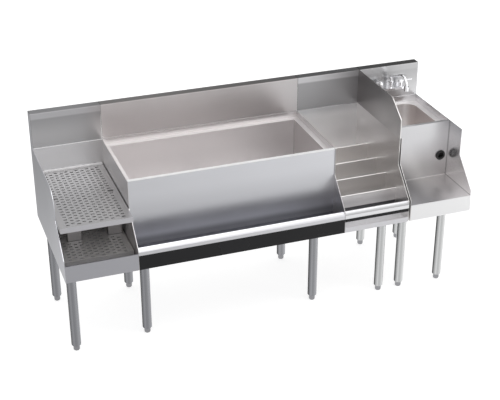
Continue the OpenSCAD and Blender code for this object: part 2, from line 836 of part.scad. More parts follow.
// Sink module
module rounded(cx, cy, w, l, r) {
    translate([cx - w / 2 + r, cy - l / 2]) square([w - 2 * r, l]);
    translate([cx - w / 2, cy - l / 2 + r]) square([w, l - 2 * r]);
    for (sx = [-1, 1])
        for (sy = [-1, 1])
            translate([cx + sx * (w / 2 - r), cy + sy * (l / 2 - r)]) circle(r = r);
}
module sink_bowl() {
    color([0.75, 0.74, 0.73]) place() difference() {
        union() {
            block(blend_x, end_x, sink_set + sheet, wall_y, recess_z - sheet, recess_z);
            translate([0, 0, bowl_z - sheet]) linear_extrude(height = recess_z - bowl_z)
                rounded(sink_cx, sink_cy, bowl_w + 2 * sheet, bowl_l + 2 * sheet, bowl_r + sheet);
        }
        translate([0, 0, bowl_z]) linear_extrude(height = bowl_h + over)
            rounded(sink_cx, sink_cy, bowl_w, bowl_l, bowl_r);
        rod_z(sink_cx, sink_cy, sink_hole / 2, bowl_z - sheet - over, bowl_z + over);
    }
}
module sink_front() {
    color([0.84, 0.84, 0.86]) place() difference() {
        extrude_x(bent([[sink_set, shelf_z], [sink_set, deck_h],
            [sink_set + rim_d, deck_h]], -sheet), blend_x, end_x);
        rod_y(x4 - grommet_x, shelf_z + grommet_z, grommet_hole / 2,
            sink_set - over, sink_set + sheet + over);
    }
}
module blender_shelf() {
    color([0.8, 0.8, 0.82]) place() difference() {
        extrude_x(bent([[hem_d, base_h], [0, base_h], [0, shelf_z],
            [wall_y, shelf_z]], -sheet), blend_x, end_x);
        rod_z(sink_cx, sink_cy, tail_hole / 2, shelf_z - sheet - over, shelf_z + over);
    }
}
module cord_grommet() {
    gx = x4 - grommet_x;
    gz = shelf_z + grommet_z;
    color([0.08, 0.08, 0.08]) place() difference() {
        union() {
            rod_y(gx, gz, grommet_d / 2, sink_set - grommet_t, sink_set);
            rod_y(gx, gz, grommet_hole / 2, sink_set, sink_set + sheet);
            rod_y(gx, gz, grommet_d / 2, sink_set + sheet, sink_set + sheet + grommet_t);
        }
        rod_y(gx, gz, grommet_bore / 2, sink_set - grommet_t - over,
            sink_set + sheet + grommet_t + over);
    }
}
module sink_drain() {
    color([0.8, 0.8, 0.82]) place() difference() {
        union() {
            rod_z(sink_cx, sink_cy, sink_flange_d / 2, bowl_z, bowl_z + basket_t);
            rod_z(sink_cx, sink_cy, sink_body_d / 2, bowl_z - sink_body_h, bowl_z);
            rod_z(sink_cx, sink_cy, sink_tail_d / 2, outlet_z, bowl_z - sink_body_h);
        }
        rod_z(sink_cx, sink_cy, sink_body_d / 2 - pipe_wall,
            bowl_z - sink_body_h + pipe_wall, bowl_z + basket_t + over);
        rod_z(sink_cx, sink_cy, sink_tail_d / 2 - pipe_wall, outlet_z - over, bowl_z);
    }
}
module sink_drain_nut() {
    color([0.72, 0.72, 0.74]) place() difference() {
        rod_z(sink_cx, sink_cy, sink_nut_d / 2, bowl_z - sheet - sink_nut_h, bowl_z - sheet);
        rod_z(sink_cx, sink_cy, sink_body_d / 2, bowl_z - sheet - sink_nut_h - over,
            bowl_z - sheet + over);
    }
}
module sink_strainer() {
    base = bowl_z + basket_t;
    color([0.75, 0.75, 0.77]) place() union() {
        difference() {
            union() {
                rod_z(sink_cx, sink_cy, basket_rim / 2, base, base + basket_t);
                rod_z(sink_cx, sink_cy, basket_d / 2, base - basket_h, base);
            }
            rod_z(sink_cx, sink_cy, basket_d / 2 - basket_t, base - basket_h + basket_t,
                base + basket_t + over);
            for (i = [0:strainer_count - 1]) {
                a = i * 4 * quarter / strainer_count;
                rod_z(sink_cx + basket_ring * cos(a), sink_cy + basket_ring * sin(a),
                    basket_t, base - basket_h - over, base);
            }
        }
        rod_z(sink_cx, sink_cy, basket_t, base - basket_h + basket_t, base + strainer_pull);
        rod_z(sink_cx, sink_cy, strainer_knob / 2, base + strainer_pull,
            base + strainer_pull + basket_t);
    }
}

// Faucet on the splash: body with two shanks, post, swing spout and handles
module faucet_body() {
    plate_y0 = valve_y - body_front;
    end_r = (splash_y - plate_y0) / 2;
    end_y = plate_y0 + end_r;
    span = body_l / 2 - end_r;
    color([0.85, 0.85, 0.87]) place() difference() {
        union() {
            block(faucet_cx - span, faucet_cx + span, plate_y0, splash_y, body_z, plate_z);
            for (s = [-1, 1]) {
                rod_z(faucet_cx + s * span, end_y, end_r, body_z, plate_z);
                rod_z(faucet_cx + s * shank_pitch / 2, valve_y, valve_d / 2, plate_z, valve_z);
                rod_y(faucet_cx + s * shank_pitch / 2, shank_z, shank_flange / 2,
                    splash_y - shank_flange_t, splash_y);
                rod_y(faucet_cx + s * shank_pitch / 2, shank_z, shank_root_d / 2,
                    splash_y - shank_flange_t, splash_y + sheet + fixing_h);
                rod_y(faucet_cx + s * shank_pitch / 2, shank_z, shank_d / 2,
                    splash_y + sheet + fixing_h, depth - shank_back);
            }
            rod_z(faucet_cx, valve_y, post_d / 2, plate_z, post_z);
        }
        for (s = [-1, 1]) {
            rod_z(faucet_cx + s * shank_pitch / 2, valve_y, stem_d / 2 + run_gap,
                valve_z - stem_l, valve_z + over);
            rod_y(faucet_cx + s * shank_pitch / 2, shank_z, shank_bore / 2,
                splash_y, depth - shank_back + over);
        }
        rod_z(faucet_cx, valve_y, spout_d / 2 + run_gap, post_z - spout_seat, post_z + over);
    }
}
module spout_nut() {
    color([0.88, 0.88, 0.9]) place() difference() {
        rod_z(faucet_cx, valve_y, collar_d / 2, post_z, nut_z);
        rod_z(faucet_cx, valve_y, spout_d / 2 + run_gap, post_z - over, nut_z + over);
    }
}
spout_z = nut_z + spout_rise;
bend_y = spout_r1 * (1 - climb_share);
bend_z = spout_z + spout_r1 * reach_share;
run_y = bend_y + spout_run * reach_share;
run_z = bend_z + spout_run * climb_share;
turn_y = run_y + spout_r2 * climb_share;
turn_z = run_z - spout_r2 * reach_share;
outlet_out = turn_y + spout_r2;
bend_room = 2 * spout_r1 + spout_d;
module ring() {
    difference() {
        circle(d = spout_d);
        circle(d = spout_d - 2 * spout_wall);
    }
}
module straight_pipe(h) {
    rotate([0, 0, 2 * quarter]) linear_extrude(height = h) ring();
}
module bent_pipe(r, a) {
    rotate([quarter, 0, 0]) rotate_extrude(angle = a) translate([r, 0]) ring();
}
module first_bend() {
    difference() {
        translate([spout_r1, 0, spout_z]) bent_pipe(spout_r1, 4 * quarter);
        translate([-bend_room, -bend_room, spout_z - 2 * bend_room]) cube(2 * bend_room);
        translate([bend_y, 0, bend_z]) rotate([0, quarter - spout_tilt, 0])
            translate([-bend_room, -bend_room, 0]) cube(2 * bend_room);
    }
}
// The spout is drawn forward along +X and then turned to the front
module faucet_spout() {
    color([0.9, 0.9, 0.92]) place() translate([faucet_cx, valve_y, 0])
        rotate([0, 0, -quarter]) union() {
            translate([0, 0, post_z - spout_seat]) straight_pipe(spout_z - post_z + spout_seat);
            first_bend();
            translate([bend_y, 0, bend_z]) rotate([0, quarter - spout_tilt, 0])
                straight_pipe(spout_run);
            translate([turn_y, 0, turn_z]) bent_pipe(spout_r2, quarter + spout_tilt);
            translate([outlet_out, 0, turn_z - spout_leg])
                linear_extrude(height = spout_leg) ring();
        }
}
module aerator() {
    mouth = turn_z - spout_leg;
    color([0.85, 0.85, 0.87]) place() difference() {
        rod_z(faucet_cx, valve_y - outlet_out, aerator_d / 2,
            mouth - aerator_h / 2, mouth + aerator_h / 2);
        rod_z(faucet_cx, valve_y - outlet_out, spout_d / 2, mouth, mouth + aerator_h);
        rod_z(faucet_cx, valve_y - outlet_out, spout_d / 2 - spout_wall,
            mouth - aerator_h, mouth + over);
    }
}
module handle(s) {
    x = faucet_cx + s * shank_pitch / 2;
    z0 = valve_z + seat_gap;
    tip = x + s * (lever_l - lever_w / 2);
    union() {
        translate([x, valve_y, z0]) cylinder(h = hub_h, r1 = hub_d / 2, r2 = hub_d / 2 * hub_top_share);
        rod_z(x, valve_y, stem_d / 2, valve_z - stem_l + seat_gap, z0);
        block(min(x, tip), max(x, tip), valve_y - lever_w / 2, valve_y + lever_w / 2,
            z0 + lever_lift, z0 + lever_lift + lever_t);
        rod_z(tip, valve_y, lever_w / 2, z0 + lever_lift, z0 + lever_lift + lever_t);
    }
}
module left_handle() {
    color([0.9, 0.9, 0.92]) place() handle(-1);
}
module right_handle() {
    color([0.9, 0.9, 0.92]) place() handle(1);
}
module faucet_nuts() {
    color([0.8, 0.7, 0.45]) place() for (s = [-1, 1]) difference() {
        translate([faucet_cx + s * shank_pitch / 2, splash_y + sheet + fixing_h, shank_z])
            rotate([quarter, 0, 0])
                cylinder(h = fixing_h, d = fixing_w / cos(quarter / 3), $fn = hexagon);
        rod_y(faucet_cx + s * shank_pitch / 2, shank_z, shank_root_d / 2,
            splash_y + sheet - over, splash_y + sheet + fixing_h + over);
    }
}

// Bolts that join the display module to the sink module
module seam_bolts() {
    color([0.6, 0.6, 0.62]) place() for (b = bolt_at) {
        y = b[0];
        z = base_h + b[1];
        hex_x(y, z, head_w, x3 - sheet - head_h, x3 - sheet);
        rod_x(y, z, bolt_d / 2, x3 - sheet, seam_x + sheet);
        hex_x(y, z, head_w, seam_x + sheet, seam_x + sheet + head_h);
    }
}
module seam_spacers() {
    color([0.65, 0.65, 0.67]) place() for (b = bolt_at) difference() {
        rod_x(b[0], base_h + b[1], spacer_d / 2, x3, seam_x);
        rod_x(b[0], base_h + b[1], bolt_d / 2 + washer_gap, x3 - over, seam_x + over);
    }
}

// Two leg rails with welded sockets, eleven leg tubes and eleven feet
module leg_rail(cy, list) {
    difference() {
        union() {
            block(rail_inset, x4 - rail_inset, cy - rail_w / 2, cy + rail_w / 2, rail_z0, base_h);
            for (i = list)
                rod_z(foot_at[i][0], foot_at[i][1], leg_d / 2 + socket_gap + socket_wall,
                    rail_z0 - socket_h, base_h - rail_t);
        }
        difference() {
            block(rail_inset - over, x4 - rail_inset + over, cy - rail_w / 2 + rail_t,
                cy + rail_w / 2 - rail_t, rail_z0 - over, base_h - rail_t);
            for (i = list)
                rod_z(foot_at[i][0], foot_at[i][1], leg_d / 2 + socket_gap + socket_wall,
                    rail_z0 - over, base_h);
        }
        for (i = list)
            rod_z(foot_at[i][0], foot_at[i][1], leg_d / 2 + socket_gap,
                rail_z0 - socket_h - over, leg_top);
    }
}
module front_leg_rail() {
    color([0.5, 0.5, 0.52]) place() leg_rail(rail_front_y, front_legs);
}
module rear_leg_rail() {
    color([0.5, 0.5, 0.52]) place() leg_rail(leg_rear, rear_legs);
}
module legs() {
    color([0.6, 0.6, 0.62]) place() for (p = foot_at)
        translate([p[0], p[1], 0]) rotate_extrude() union() {
            translate([leg_d / 2 - leg_wall, foot_h + leg_round])
                square([leg_wall, leg_top - foot_h - leg_round]);
            translate([foot_stem_d / 2 + run_gap, foot_h])
                square([leg_d / 2 - leg_round - foot_stem_d / 2 - run_gap, plug_h]);
            translate([leg_d / 2 - leg_round, foot_h + leg_round])
                square([leg_round, plug_h - leg_round]);
            intersection() {
                translate([leg_d / 2 - leg_round, foot_h + leg_round]) circle(r = leg_round);
                translate([leg_d / 2 - leg_round, foot_h]) square([leg_round, leg_round]);
            }
        }
}
module foot(i) {
    translate([foot_at[i][0], foot_at[i][1], 0]) rotate_extrude() union() {
        square([foot_stem_d / 2, foot_h + foot_stem_l]);
        square([foot_d / 2 - foot_r, foot_h]);
        translate([0, foot_r]) square([foot_d / 2, foot_h - foot_r]);
        intersection() {
            translate([foot_d / 2 - foot_r, foot_r]) circle(r = foot_r);
            translate([foot_d / 2 - foot_r, 0]) square([foot_r, foot_r]);
        }
    }
}
module drainboard_front_foot() { color([0.45, 0.45, 0.47]) place() foot(0); }
module drainboard_rear_foot() { color([0.45, 0.45, 0.47]) place() foot(1); }
module bin_left_front_foot() { color([0.45, 0.45, 0.47]) place() foot(2); }
module bin_left_rear_foot() { color([0.45, 0.45, 0.47]) place() foot(3); }
module bin_right_front_foot() { color([0.45, 0.45, 0.47]) place() foot(4); }
module bin_right_rear_foot() { color([0.45, 0.45, 0.47]) place() foot(5); }
module display_front_foot() { color([0.45, 0.45, 0.47]) place() foot(6); }
module sink_left_front_foot() { color([0.45, 0.45, 0.47]) place() foot(7); }
module sink_left_rear_foot() { color([0.45, 0.45, 0.47]) place() foot(8); }
module sink_right_front_foot() { color([0.45, 0.45, 0.47]) place() foot(9); }
module sink_right_rear_foot() { color([0.45, 0.45, 0.47]) place() foot(10); }

left_end_panel();
drainboard_side_panel();
bin_side_panel();
display_side_panel();
blender_side_panel();
right_end_panel();
drainboard_splash();
bin_splash();
display_splash();
blender_splash();
drainboard_pan();
drainboard_insert();
drainboard_drain();
glass_shelf_pan();
glass_shelf_insert();
glass_shelf_drain();
left_upright();
right_upright();
bin_casing();
bin_liner();
bin_insulation();
bin_drain();
bin_strainer();
bin_rail();
bin_rail_bumper();
bottle_steps();
display_rail();
display_guard();
display_bumper();
splash_divider();
sink_bowl();
sink_front();
blender_shelf();
cord_grommet();
sink_drain();
sink_drain_nut();
sink_strainer();
faucet_body();
faucet_spout();
spout_nut();
left_handle();
right_handle();
aerator();
faucet_nuts();
seam_bolts();
seam_spacers();
front_leg_rail();
rear_leg_rail();
legs();
drainboard_front_foot();
drainboard_rear_foot();
bin_left_front_foot();
bin_left_rear_foot();
bin_right_front_foot();
bin_right_rear_foot();
display_front_foot();
sink_left_front_foot();
sink_left_rear_foot();
sink_right_front_foot();
sink_right_rear_foot();
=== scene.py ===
import math

import bpy
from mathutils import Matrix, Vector


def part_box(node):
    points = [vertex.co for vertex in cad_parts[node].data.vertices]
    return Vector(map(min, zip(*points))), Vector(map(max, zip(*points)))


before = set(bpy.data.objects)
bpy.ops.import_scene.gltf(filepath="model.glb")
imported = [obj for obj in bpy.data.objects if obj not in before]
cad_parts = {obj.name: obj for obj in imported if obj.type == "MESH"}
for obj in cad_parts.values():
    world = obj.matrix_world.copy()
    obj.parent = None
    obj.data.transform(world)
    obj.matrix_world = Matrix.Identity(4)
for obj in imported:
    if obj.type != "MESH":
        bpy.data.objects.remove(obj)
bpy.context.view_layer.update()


# Studio
# The station stands on a pale seamless floor under a soft overhead light.
# The camera is a long lens, left of the middle and well above the counter.

camera = bpy.data.objects.new("studio_camera", bpy.data.cameras.new("studio_camera"))
bpy.context.scene.collection.objects.link(camera)
camera_heading = math.radians(19.938)
camera_drop = math.radians(27.538)
camera_aim = Vector((
    math.sin(camera_heading) * math.cos(camera_drop),
    math.cos(camera_heading) * math.cos(camera_drop),
    -math.sin(camera_drop),
))
camera.location = (-1.5351, -4.1735, 2.8026)
camera.rotation_euler = camera_aim.to_track_quat("-Z", "Y").to_euler()
camera.data.sensor_width = 36.0
camera.data.lens = 81.42
camera.data.clip_end = 200.0
bpy.context.scene.camera = camera
bpy.context.scene.view_settings.view_transform = "Standard"

floor_reach = 60.0
floor_mesh = bpy.data.meshes.new("studio_floor")
floor_mesh.from_pydata(
    [
        (-floor_reach, -floor_reach, 0.0),
        (floor_reach, -floor_reach, 0.0),
        (floor_reach, floor_reach, 0.0),
        (-floor_reach, floor_reach, 0.0),
    ],
    [],
    [(0, 1, 2, 3)],
)
studio_floor = bpy.data.objects.new("studio_floor", floor_mesh)
bpy.context.scene.collection.objects.link(studio_floor)

floor_paint = bpy.data.materials.new("studio_floor_paint")
floor_paint.use_nodes = True
floor_tree = floor_paint.node_tree
floor_shader = floor_tree.nodes["Principled BSDF"]
floor_shader.inputs["Base Color"].default_value = (0.55, 0.55, 0.55, 1.0)
floor_shader.inputs["Roughness"].default_value = 0.9
floor_shader.inputs["Specular IOR Level"].default_value = 0.0
floor_shader.inputs["Emission Strength"].default_value = 0.74
floor_seen = floor_tree.nodes.new("ShaderNodeLightPath")

# A mix node has its colour and value sockets under these numbers
first_colour = 6
second_colour = 7
mixed_colour = 2
first_value = 2
second_value = 3

floor_glow = floor_tree.nodes.new("ShaderNodeMix")
floor_glow.data_type = "RGBA"
floor_glow.inputs[first_colour].default_value = (0.0, 0.0, 0.0, 1.0)
floor_glow.inputs[second_colour].default_value = (1.0, 1.0, 1.0, 1.0)
floor_tree.links.new(floor_seen.outputs["Is Camera Ray"], floor_glow.inputs[0])
floor_tree.links.new(floor_glow.outputs[mixed_colour], floor_shader.inputs["Emission Color"])


def smooth_range(tree, source, low, high, to_low, to_high):
    """A smooth step of one value, held at both its ends."""
    step = tree.nodes.new("ShaderNodeMapRange")
    step.interpolation_type = "SMOOTHSTEP"
    step.inputs["From Min"].default_value = low
    step.inputs["From Max"].default_value = high
    step.inputs["To Min"].default_value = to_low
    step.inputs["To Max"].default_value = to_high
    tree.links.new(source, step.inputs["Value"])
    return step.outputs["Result"]


def product(tree, one, other):
    """One value times another."""
    times = tree.nodes.new("ShaderNodeMath")
    times.operation = "MULTIPLY"
    tree.links.new(one, times.inputs[0])
    tree.links.new(other, times.inputs[1])
    return times.outputs[0]


# Painted reflection: in the metal's reflections the floor glows a grey that grows lighter to the right and
# toward the front.
floor_place = floor_tree.nodes.new("ShaderNodeTexCoord")
floor_parts = floor_tree.nodes.new("ShaderNodeSeparateXYZ")
floor_tree.links.new(floor_place.outputs["Object"], floor_parts.inputs[0])
floor_across = smooth_range(floor_tree, floor_parts.outputs["X"], -1.1, 1.5, 0.44, 0.61)
floor_deep = smooth_range(floor_tree, floor_parts.outputs["Y"], 0.3, 1.9, 1.35, 0.85)
floor_right = smooth_range(floor_tree, floor_parts.outputs["X"], 1.4, 2.4, 1.0, 1.7)
floor_reflection_grey = product(floor_tree, product(floor_tree, floor_across, floor_deep), floor_right)
floor_reflection_glow = floor_tree.nodes.new("ShaderNodeEmission")
floor_tree.links.new(floor_reflection_grey, floor_reflection_glow.inputs["Color"])
floor_mix = floor_tree.nodes.new("ShaderNodeMixShader")
floor_out = floor_tree.nodes["Material Output"]
floor_tree.links.new(floor_seen.outputs["Is Glossy Ray"], floor_mix.inputs[0])
floor_tree.links.new(floor_shader.outputs[0], floor_mix.inputs[1])
floor_tree.links.new(floor_reflection_glow.outputs[0], floor_mix.inputs[2])
floor_tree.links.new(floor_mix.outputs[0], floor_out.inputs["Surface"])
studio_floor.data.materials.append(floor_paint)

studio_world = bpy.data.worlds.new("studio_world")
bpy.context.scene.world = studio_world
studio_world.use_nodes = True
sky = studio_world.node_tree
sky.nodes.clear()
sky_direction = sky.nodes.new("ShaderNodeTexCoord")
sky_parts = sky.nodes.new("ShaderNodeSeparateXYZ")
sky.links.new(sky_direction.outputs["Generated"], sky_parts.inputs[0])
sky_behind = smooth_range(sky, sky_parts.outputs["Y"], 0.2, 0.6, 0.0, 1.0)
sky_height = smooth_range(sky, sky_parts.outputs["Z"], 0.38, 0.56, 0.0, 1.0)
sky_level = sky.nodes.new("ShaderNodeMix")
sky_level.inputs[first_value].default_value = 1.0
sky.links.new(sky_behind, sky_level.inputs[0])
sky.links.new(sky_height, sky_level.inputs[second_value])
sky_back = sky.nodes.new("ShaderNodeBackground")
sky.links.new(sky_level.outputs[0], sky_back.inputs["Color"])
sky_light = sky.nodes.new("ShaderNodeBackground")
sky_light.inputs["Color"].default_value = (1.0, 1.0, 1.0, 1.0)
sky_light.inputs["Strength"].default_value = 0.72
sky_path = sky.nodes.new("ShaderNodeLightPath")
sky_mirror = sky.nodes.new("ShaderNodeMath")
sky_mirror.operation = "MAXIMUM"
sky.links.new(sky_path.outputs["Is Glossy Ray"], sky_mirror.inputs[0])
sky.links.new(sky_path.outputs["Is Transmission Ray"], sky_mirror.inputs[1])
sky_mirrored = sky.nodes.new("ShaderNodeMixShader")
sky.links.new(sky_mirror.outputs[0], sky_mirrored.inputs[0])
sky.links.new(sky_light.outputs[0], sky_mirrored.inputs[1])
sky.links.new(sky_back.outputs[0], sky_mirrored.inputs[2])
sky_white = sky.nodes.new("ShaderNodeBackground")
sky_white.inputs["Color"].default_value = (1.0, 1.0, 1.0, 1.0)
sky_seen = sky.nodes.new("ShaderNodeMixShader")
sky.links.new(sky_path.outputs["Is Camera Ray"], sky_seen.inputs[0])
sky.links.new(sky_mirrored.outputs[0], sky_seen.inputs[1])
sky.links.new(sky_white.outputs[0], sky_seen.inputs[2])
sky_out = sky.nodes.new("ShaderNodeOutputWorld")
sky.links.new(sky_seen.outputs[0], sky_out.inputs["Surface"])


def soft_box(name, place, aim, width, height, watts):
    """A rectangular studio light, turned to face the point it is aimed at."""
    lamp = bpy.data.lights.new(name, "AREA")
    lamp.shape = "RECTANGLE"
    lamp.size = width
    lamp.size_y = height
    lamp.energy = watts
    box = bpy.data.objects.new(name, lamp)
    box.location = place
    box.rotation_euler = (Vector(aim) - Vector(place)).to_track_quat("-Z", "Y").to_euler()
    bpy.context.scene.collection.objects.link(box)


soft_box("overhead_light", (0.4, -1.2, 4.4), (0.0, 0.0, 0.6), 4.0, 3.0, 55.0)
soft_box("right_light", (4.2, -3.4, 2.6), (0.2, 0.0, 0.6), 2.0, 2.4, 26.0)


# Leg channels
# Two inverted stainless channels run the whole length under the units.
# They are folded from sheet, with a round welded socket for each leg.

def brushed_grain():
    """Polishing lines and slow cloudiness, read from the piece's own coordinates."""
    group = bpy.data.node_groups.new("brushed_grain", "ShaderNodeTree")
    face = group.interface
    face.new_socket("Lines per Metre", in_out="INPUT", socket_type="NodeSocketVector")
    face.new_socket("Shift", in_out="INPUT", socket_type="NodeSocketFloat")
    face.new_socket("Lines", in_out="OUTPUT", socket_type="NodeSocketFloat")
    face.new_socket("Cloud", in_out="OUTPUT", socket_type="NodeSocketFloat")
    face.new_socket("Tone", in_out="OUTPUT", socket_type="NodeSocketFloat")
    given = group.nodes.new("NodeGroupInput")
    place = group.nodes.new("ShaderNodeTexCoord")
    shifted = group.nodes.new("ShaderNodeVectorMath")
    shifted.operation = "ADD"
    group.links.new(place.outputs["Object"], shifted.inputs[0])
    group.links.new(given.outputs["Shift"], shifted.inputs[1])
    drawn = group.nodes.new("ShaderNodeVectorMath")
    drawn.operation = "MULTIPLY"
    group.links.new(shifted.outputs[0], drawn.inputs[0])
    group.links.new(given.outputs["Lines per Metre"], drawn.inputs[1])
    lines = group.nodes.new("ShaderNodeTexNoise")
    lines.inputs["Scale"].default_value = 1.0
    lines.inputs["Detail"].default_value = 3.0
    lines.inputs["Roughness"].default_value = 0.65
    group.links.new(drawn.outputs[0], lines.inputs["Vector"])
    cloud = group.nodes.new("ShaderNodeTexNoise")
    cloud.inputs["Scale"].default_value = 5.0
    cloud.inputs["Detail"].default_value = 3.0
    cloud.inputs["Roughness"].default_value = 0.55
    group.links.new(shifted.outputs[0], cloud.inputs["Vector"])
    tone = group.nodes.new("ShaderNodeMath")
    tone.operation = "ADD"
    group.links.new(lines.outputs["Fac"], tone.inputs[0])
    group.links.new(cloud.outputs["Fac"], tone.inputs[1])
    halved = group.nodes.new("ShaderNodeMath")
    halved.operation = "MULTIPLY"
    halved.inputs[1].default_value = 0.5
    group.links.new(tone.outputs[0], halved.inputs[0])
    made = group.nodes.new("NodeGroupOutput")
    group.links.new(lines.outputs["Fac"], made.inputs["Lines"])
    group.links.new(cloud.outputs["Fac"], made.inputs["Cloud"])
    group.links.new(halved.outputs[0], made.inputs["Tone"])
    return group


grain_group = brushed_grain()
lines_along_x = (12.0, 260.0, 260.0)
lines_along_y = (260.0, 12.0, 260.0)
lines_along_z = (260.0, 260.0, 12.0)


def metal(name, colour, contrast, lines, shift, rough, rough_spread, relief, scatter=0.0):
    """Metal that is polished along one axis: its tone, gloss and relief follow the lines.

    A share of its light, the scatter, is thrown in all directions by the fine scratches.
    """
    made = bpy.data.materials.new(name)
    made.use_nodes = True
    tree = made.node_tree
    shader = tree.nodes["Principled BSDF"]
    shader.inputs["Metallic"].default_value = 1.0 - scatter
    grain = tree.nodes.new("ShaderNodeGroup")
    grain.node_tree = grain_group
    grain.inputs["Lines per Metre"].default_value = lines
    grain.inputs["Shift"].default_value = shift
    tone = tree.nodes.new("ShaderNodeMix")
    tone.data_type = "RGBA"
    tone.inputs[first_colour].default_value = (*(c * (1.0 - contrast) for c in colour), 1.0)
    tone.inputs[second_colour].default_value = (*(min(1.0, c * (1.0 + contrast)) for c in colour), 1.0)
    tree.links.new(grain.outputs["Tone"], tone.inputs[0])
    tree.links.new(tone.outputs[mixed_colour], shader.inputs["Base Color"])
    gloss = tree.nodes.new("ShaderNodeMapRange")
    gloss.inputs["From Min"].default_value = 0.3
    gloss.inputs["From Max"].default_value = 0.7
    gloss.inputs["To Min"].default_value = rough - rough_spread
    gloss.inputs["To Max"].default_value = rough + rough_spread
    tree.links.new(grain.outputs["Cloud"], gloss.inputs["Value"])
    tree.links.new(gloss.outputs["Result"], shader.inputs["Roughness"])
    bump = tree.nodes.new("ShaderNodeBump")
    bump.inputs["Strength"].default_value = relief
    bump.inputs["Distance"].default_value = 0.0001
    tree.links.new(grain.outputs["Lines"], bump.inputs["Height"])
    tree.links.new(bump.outputs["Normal"], shader.inputs["Normal"])
    return made


def fade_group_of_sheet():
    """How far a point lies along one direction, as a smooth step between two distances."""
    group = bpy.data.node_groups.new("fade_along", "ShaderNodeTree")
    face = group.interface
    face.new_socket("Direction", in_out="INPUT", socket_type="NodeSocketVector")
    face.new_socket("Start", in_out="INPUT", socket_type="NodeSocketFloat")
    face.new_socket("End", in_out="INPUT", socket_type="NodeSocketFloat")
    face.new_socket("Mask", in_out="OUTPUT", socket_type="NodeSocketFloat")
    given = group.nodes.new("NodeGroupInput")
    place = group.nodes.new("ShaderNodeTexCoord")
    reach = group.nodes.new("ShaderNodeVectorMath")
    reach.operation = "DOT_PRODUCT"
    group.links.new(place.outputs["Object"], reach.inputs[0])
    group.links.new(given.outputs["Direction"], reach.inputs[1])
    step = group.nodes.new("ShaderNodeMapRange")
    step.interpolation_type = "SMOOTHSTEP"
    group.links.new(reach.outputs["Value"], step.inputs["Value"])
    group.links.new(given.outputs["Start"], step.inputs["From Min"])
    group.links.new(given.outputs["End"], step.inputs["From Max"])
    made = group.nodes.new("NodeGroupOutput")
    group.links.new(step.outputs["Result"], made.inputs["Mask"])
    return group


fade_group = fade_group_of_sheet()
right = (1.0, 0.0, 0.0)
left = (-1.0, 0.0, 0.0)
back = (0.0, 1.0, 0.0)
front = (0.0, -1.0, 0.0)
up = (0.0, 0.0, 1.0)
down = (0.0, 0.0, -1.0)


def overlap(tree, fades):
    """One mask for the place where all of the fades overlap."""
    mask = None
    for direction, start, end in fades:
        fade = tree.nodes.new("ShaderNodeGroup")
        fade.node_tree = fade_group
        fade.inputs["Direction"].default_value = direction
        fade.inputs["Start"].default_value = start
        fade.inputs["End"].default_value = end
        mask = product(tree, mask, fade.outputs["Mask"]) if mask else fade.outputs["Mask"]
    return mask


def paint_light_and_shade(material, colour, *fades):
    """Paints light and shade: multiplies the colour of one part of a piece, where all of its fades overlap.
    """
    tree = material.node_tree
    base = tree.nodes["Principled BSDF"].inputs["Base Color"]
    under = base.links[0].from_socket
    over = tree.nodes.new("ShaderNodeMix")
    over.data_type = "RGBA"
    over.blend_type = "MULTIPLY"
    over.inputs[second_colour].default_value = (*colour, 1.0)
    tree.links.new(overlap(tree, fades), over.inputs[0])
    tree.links.new(under, over.inputs[first_colour])
    tree.links.new(over.outputs[mixed_colour], base)


def soften(material, metallic, *fades):
    """Lets the fine scratches of one part throw more of its light in all directions."""
    tree = material.node_tree
    share = tree.nodes["Principled BSDF"].inputs["Metallic"]
    level = tree.nodes.new("ShaderNodeMix")
    level.inputs[first_value].default_value = share.default_value
    level.inputs[second_value].default_value = metallic
    tree.links.new(overlap(tree, fades), level.inputs[0])
    tree.links.new(level.outputs[0], share)


def beyond(name, direction, start, end):
    """A fade that starts and ends at these distances from a node's far side in one direction."""
    far = max(sum(d * c for d, c in zip(direction, corner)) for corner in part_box(name))
    return direction, far + start, far + end


def dress(material, *names):
    """Gives CAD pieces their finish."""
    for name in names:
        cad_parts[name].material_slots[0].material = material


# All the stainless pieces are one steel; each has its own copy, with its base colour set lighter or darker
# by how brightly that piece is lit: painted light and shade.
channel_steel = metal("channel_steel", (0.60, 0.60, 0.61), 0.05, lines_along_x, 0.3, 0.34, 0.02, 0.002)
dress(channel_steel, "front_leg_rail", "rear_leg_rail")


# Legs
# Eleven straight stainless tubes, polished lengthwise and pressed into the sockets.
# They are glossier than the sheets; a light stripe between darker limbs is painted onto them as highlight
# and shade.

def paint_round_shade_and_highlight(material, *stops):
    """Paints highlight and shade on a round piece: multiplies its colour by a grey that follows how far its
    surface faces right.

    Where the surface faces the back, the painted shade is the same grey all round.
    """
    tree = material.node_tree
    base = tree.nodes["Principled BSDF"].inputs["Base Color"]
    under = base.links[0].from_socket
    facing = tree.nodes.new("ShaderNodeTexCoord")
    parts = tree.nodes.new("ShaderNodeSeparateXYZ")
    tree.links.new(facing.outputs["Normal"], parts.inputs[0])
    share = tree.nodes.new("ShaderNodeMapRange")
    share.inputs["From Min"].default_value = -1.0
    tree.links.new(parts.outputs["X"], share.inputs["Value"])
    ramp = tree.nodes.new("ShaderNodeValToRGB")
    ramp.color_ramp.elements.remove(ramp.color_ramp.elements[1])
    for turn, level in stops:
        point = ramp.color_ramp.elements.new((turn + 1.0) / 2.0)
        point.color = (level, level, level, 1.0)
    tree.links.new(share.outputs["Result"], ramp.inputs["Fac"])
    rear_painted_shade = 0.75
    rear = tree.nodes.new("ShaderNodeMix")
    rear.data_type = "RGBA"
    rear.inputs[second_colour].default_value = (rear_painted_shade, rear_painted_shade, rear_painted_shade, 1.0)
    tree.links.new(smooth_range(tree, parts.outputs["Y"], 0.0, 0.4, 0.0, 1.0), rear.inputs[0])
    tree.links.new(ramp.outputs["Color"], rear.inputs[first_colour])
    over = tree.nodes.new("ShaderNodeMix")
    over.data_type = "RGBA"
    over.blend_type = "MULTIPLY"
    over.inputs[0].default_value = 1.0
    tree.links.new(under, over.inputs[first_colour])
    tree.links.new(rear.outputs[mixed_colour], over.inputs[second_colour])
    tree.links.new(over.outputs[mixed_colour], base)


